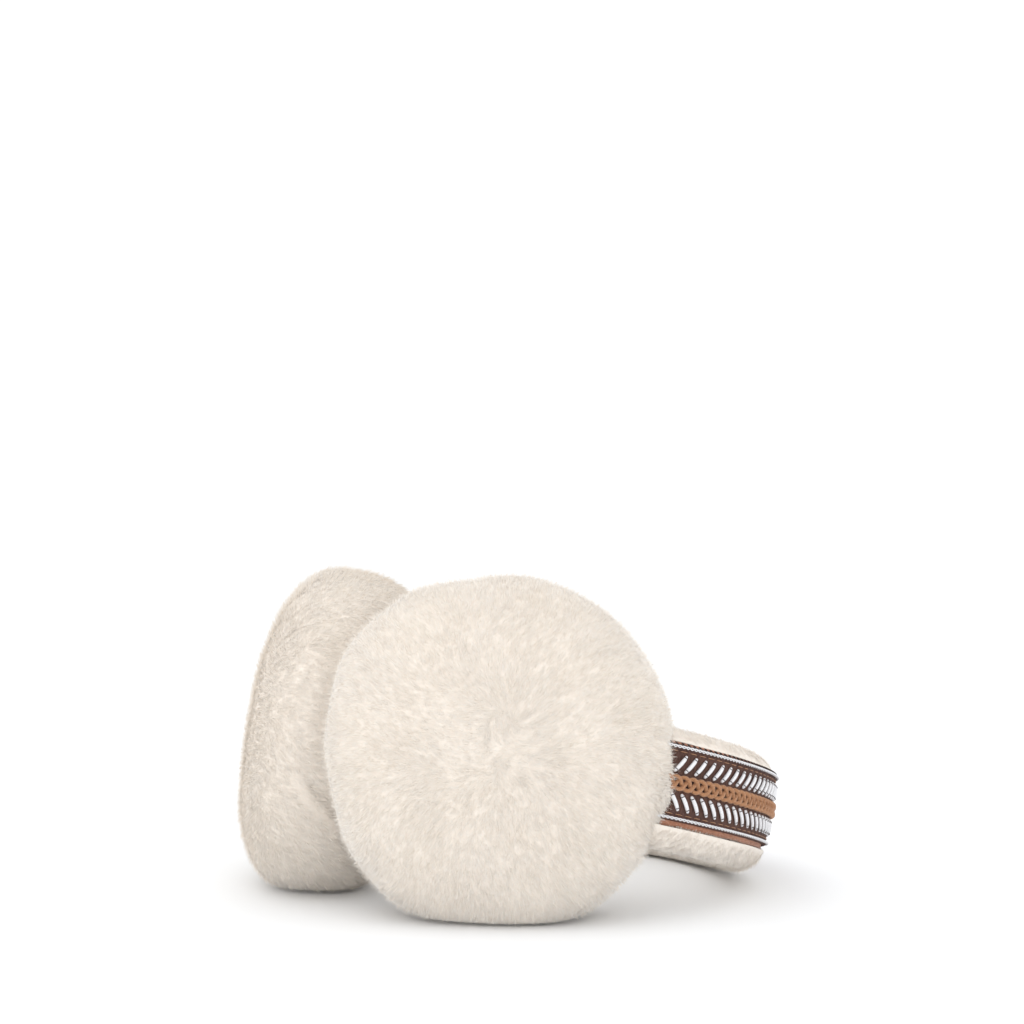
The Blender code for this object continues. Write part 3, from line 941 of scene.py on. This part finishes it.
def make_floor():
    """The white surface that the earmuffs lie on."""
    half = FLOOR_SIZE / 2
    corners = [(-half, -half, 0), (half, -half, 0), (half, half, 0), (-half, half, 0)]
    material, _, shader = node_material("floor", roughness=0.9, specular=0.1)
    shader.inputs["Base Color"].default_value = (*FLOOR_COLOUR, 1.0)
    new_mesh("floor", corners, [[0, 1, 2, 3]], material)


def make_fur():
    """The pads' and the headband's padded bodies, each under its coat of hairs."""
    hair = hair_material()
    ground = hide_material()
    for name, side in (("ear_pad_right", 1), ("ear_pad_left", -1)):
        skin = pad_skin(side)
        body = hide_body(f"{name}_body", skin, ground, side)
        place_piece(body, "cream_fur", name)
        half = len(skin.quads) // 2
        outer = skin._replace(quads=skin.quads[:half])
        inner = skin._replace(quads=skin.quads[half:])
        grow(f"{name}_fur_outer", outer, PAD_HAIRS, hair, OUTER_FUR_SEED + side, side)
        grow(f"{name}_fur_inner", inner, PAD_HAIRS, hair, INNER_FUR_SEED + side, side)
    skin = band_skin()
    body = hide_body("band_fur_body", skin, ground)
    place_piece(body, "cream_fur", "band_fur")
    grow("band_fur_hair", skin, BAND_HAIRS, hair, BAND_FUR_SEED, fluff=BAND_FLUFF)


def trim_length(out):
    """Length of the trim along its own curve, at that distance outside the band's middle line."""
    along = np.linspace(-TRIM_HALF_LENGTH, TRIM_HALF_LENGTH, SAMPLES)
    steps = np.diff(band_points(along, out, 0.0), axis=0)
    return float(np.linalg.norm(steps, axis=1).sum())


def make_suede():
    """The suede strip, with raw uneven edges."""
    top = SUEDE_MIDDLE_OUT + SUEDE_THICKNESS / 2
    back = SUEDE_MIDDLE_OUT - SUEDE_THICKNESS / 2
    rises = np.linspace(SUEDE_BOTTOM, SUEDE_TOP, SUEDE_COLUMNS)
    section = [(top, rise) for rise in rises] + [(back, rise) for rise in rises[::-1]]

    def ragged(along, out, rise):
        edge = np.clip((np.abs(rise - rises.mean()) - RAW_EDGE_START) / RAW_EDGE_WIDTH, 0, 1)
        spots = np.stack([along, out, np.sign(rise) * MM], axis=-1)
        fine = ripple(spots, FINE_RAG_SIZE, SUEDE_FINE_SEED) * FINE_RAGS
        long = ripple(spots, LONG_RAG_SIZE, SUEDE_LONG_SEED) * LONG_RAGS
        return out, rise + np.sign(rise) * edge * (fine + long)

    return strip_mesh("band_suede_strip", SUEDE_ROWS, section, suede_material(), ragged)


def make_ribbon():
    """The ribbon, with a rib and a groove in each pitch of its outer face."""
    half = RIBBON_WIDTH / 2
    flat_half = half - RIBBON_EDGE_WIDTH
    rises = np.concatenate([[-half], np.linspace(-flat_half, flat_half, RIBBON_COLUMNS), [half]])
    top = np.full(len(rises), RIBBON_OUT)
    top[[0, -1]] -= RIBBON_EDGE_DROP
    back = RIBBON_OUT - RIBBON_THICKNESS
    section = [*zip(top, rises), (back, half), (back, -half)]
    rows = 2 * round(2 * TRIM_HALF_LENGTH / RIB_PITCH) + 1

    def ribbed(along, out, rise):
        ribs = np.cos(2 * np.pi * along / RIB_PITCH)
        shown = out > RIBBON_OUT - RIBBON_THICKNESS / 2
        spots = np.stack([along, 0 * along, rise], axis=-1)
        wave = ripple(spots, RIBBON_WAVE_SIZE, RIBBON_WAVE_SEED) * RIBBON_WAVE
        return out + shown * (ribs * RIB_HEIGHT + wave), rise

    return strip_mesh("band_ribbon_ribbed", rows, section, ribbon_material(), ribbed)


def make_edge_cord(name, rise, material):
    """A cord of two strands laid round each other."""
    rows = round(2 * TRIM_HALF_LENGTH / CORD_LAY * CORD_STEPS)
    along = np.linspace(-TRIM_HALF_LENGTH, TRIM_HALF_LENGTH, rows)
    radii = closed_radii(CORD_STRAND_RADIUS, rows)
    strands = []
    for start in (0.0, math.pi):
        turn = 2 * np.pi * along / CORD_LAY + start
        out = CORD_OUT + CORD_SWING_OUT * np.cos(turn)
        strands.append(thread(along, out, rise + CORD_SWING_RISE * np.sin(turn), radii, CORD_SIDES))
    return joined(name, strands, material)


def make_white_stitches(material, tie_material):
    """Two rows of slanted padded stitches, like ears of wheat along the band, and two ties over each.

    Their slant turns round at the apex, where the lower row leaves out a stitch.
    """
    stitches = []
    ties = []
    count = int((TRIM_HALF_LENGTH - STITCH_END_MARGIN) / STITCH_PITCH)
    share = (1 - np.cos(np.linspace(0, math.pi, STITCH_STEPS))) / 2
    radii = rounded_radii(STITCH_RADIUS, STITCH_STEPS)
    bend = np.linspace(0, math.pi, TIE_STEPS)
    tie_radii = closed_radii(TIE_RADIUS, TIE_STEPS)
    out = RIBBON_OUT + STITCH_LIFT + STITCH_ARCH * np.sin(np.pi * share) ** STITCH_ARCH_FULLNESS
    for number in range(-count, count + 1):
        way = 1 if number >= 0 else -1
        for row in (1, -1):
            if number == 0 and row < 0:
                continue
            along = number * STITCH_PITCH + way * STITCH_SLANT * (0.5 - share)
            rise = row * (STITCH_LOW + (STITCH_HIGH - STITCH_LOW) * share)
            stitches.append(thread(along, out, rise, radii, STITCH_SIDES, **STITCH_TWIST))
            slant = unit(np.array([along[-1] - along[0], rise[-1] - rise[0]]))
            for step in TIED_STEPS:
                reach = radii[step] * TIE_REACH * np.cos(bend)
                over_along = along[step] - slant[1] * reach
                over_out = out[step] + radii[step] * TIE_HEIGHT * np.sin(bend)
                over_rise = rise[step] + slant[0] * reach
                ties.append(thread(over_along, over_out, over_rise, tie_radii, TIE_SIDES))
    return joined("stitches_white", stitches, material), joined("stitches_ties", ties, tie_material)


def make_plait(material):
    """The tan plait of three strands along the middle of the ribbon."""
    rows = round(2 * TRIM_HALF_LENGTH / PLAIT_PITCH * PLAIT_STEPS)
    along = np.linspace(-TRIM_HALF_LENGTH, TRIM_HALF_LENGTH, rows)
    radii = closed_radii(PLAIT_RADIUS, rows)
    twist = 2 * np.pi * 2 * TRIM_HALF_LENGTH / PLAIT_PLY_PITCH
    plies = {"ridges": PLAIT_PLIES, "twist": twist, "depth": PLAIT_PLY_DEPTH}
    strands = []
    for number in range(PLAIT_STRANDS):
        turn = 2 * np.pi * (along / PLAIT_PITCH + number / PLAIT_STRANDS)
        rise = PLAIT_SWING * np.sin(turn)
        out = RIBBON_OUT + PLAIT_LIFT + PLAIT_CROSSING * np.sin(2 * turn)
        strands.append(thread(along, out, rise, radii, PLAIT_SIDES, **plies))
    return joined("stitches_tan_plait", strands, material)


def make_running_stitches(material):
    """The tan stitches that hold the ribbon down just inside its two cords."""
    parts = []
    count = int(TRIM_HALF_LENGTH / RUNNING_PITCH)
    share = np.linspace(-0.5, 0.5, SMALL_STITCH_STEPS)
    out = RIBBON_OUT + RUNNING_LIFT + RUNNING_ARCH * np.cos(np.pi * share)
    radii = rounded_radii(RUNNING_RADIUS, SMALL_STITCH_STEPS)
    for number in range(-count, count + 1):
        for row in (1, -1):
            along = (number + RUNNING_SHIFT * row) * RUNNING_PITCH + share * RUNNING_LENGTH
            parts.append(thread(along, out, row * RUNNING_RISE, radii, SMALL_STITCH_SIDES))
    return joined("stitches_tan_running", parts, material)


def make_edge_stitches(material):
    """Short dark stitches over the ribbon's upper edge, just outside its cord."""
    parts = []
    count = int(TRIM_HALF_LENGTH / EDGE_STITCH_PITCH)
    share = np.linspace(0, 1, SMALL_STITCH_STEPS)
    rise = RIBBON_WIDTH / 2 - EDGE_STITCH_INSET + EDGE_STITCH_RISE * share
    out = RIBBON_OUT + EDGE_STITCH_LIFT - EDGE_STITCH_DIVE * share**2
    radii = rounded_radii(EDGE_STITCH_RADIUS, SMALL_STITCH_STEPS)
    for number in range(-count, count + 1):
        along = number * EDGE_STITCH_PITCH + (share - 0.5) * EDGE_STITCH_LENGTH
        parts.append(thread(along, out, rise, radii, SMALL_STITCH_SIDES))
    return joined("stitches_dark_edge", parts, material)


def make_trim():
    """The suede, the ribbon on it, and the cords and stitches that are sewn to the ribbon."""
    white = thread_material("white_thread", WHITE_THREAD)
    tan = thread_material("tan_thread", TAN_THREAD)
    dark = thread_material("dark_thread", DARK_THREAD)
    suede = place_piece(make_suede(), "rust_suede", "band_suede")
    ribbon = place_piece(make_ribbon(), "brown_ribbon", "band_ribbon")
    upper = place_piece(make_edge_cord("cord_upper_twisted", CORD_RISE, white), "white_cord", "cord_upper")
    lower = place_piece(make_edge_cord("cord_lower_twisted", -CORD_RISE, white), "white_cord", "cord_lower")
    stitches, ties = make_white_stitches(white, dark)
    place_piece(stitches, "white_cord")
    sewn = [place_piece(ties, "brown_ribbon")]
    sewn.append(place_piece(make_plait(tan), "brown_ribbon"))
    sewn.append(place_piece(make_running_stitches(tan), "brown_ribbon"))
    sewn.append(place_piece(make_edge_stitches(dark), "brown_ribbon"))
    suede_flat = (SUEDE_TOP - SUEDE_BOTTOM, trim_length(SUEDE_MIDDLE_OUT))
    trim_length(RIBBON_OUT - RIBBON_THICKNESS / 2)


make_camera()
make_light()
make_floor()
make_fur()
make_trim()
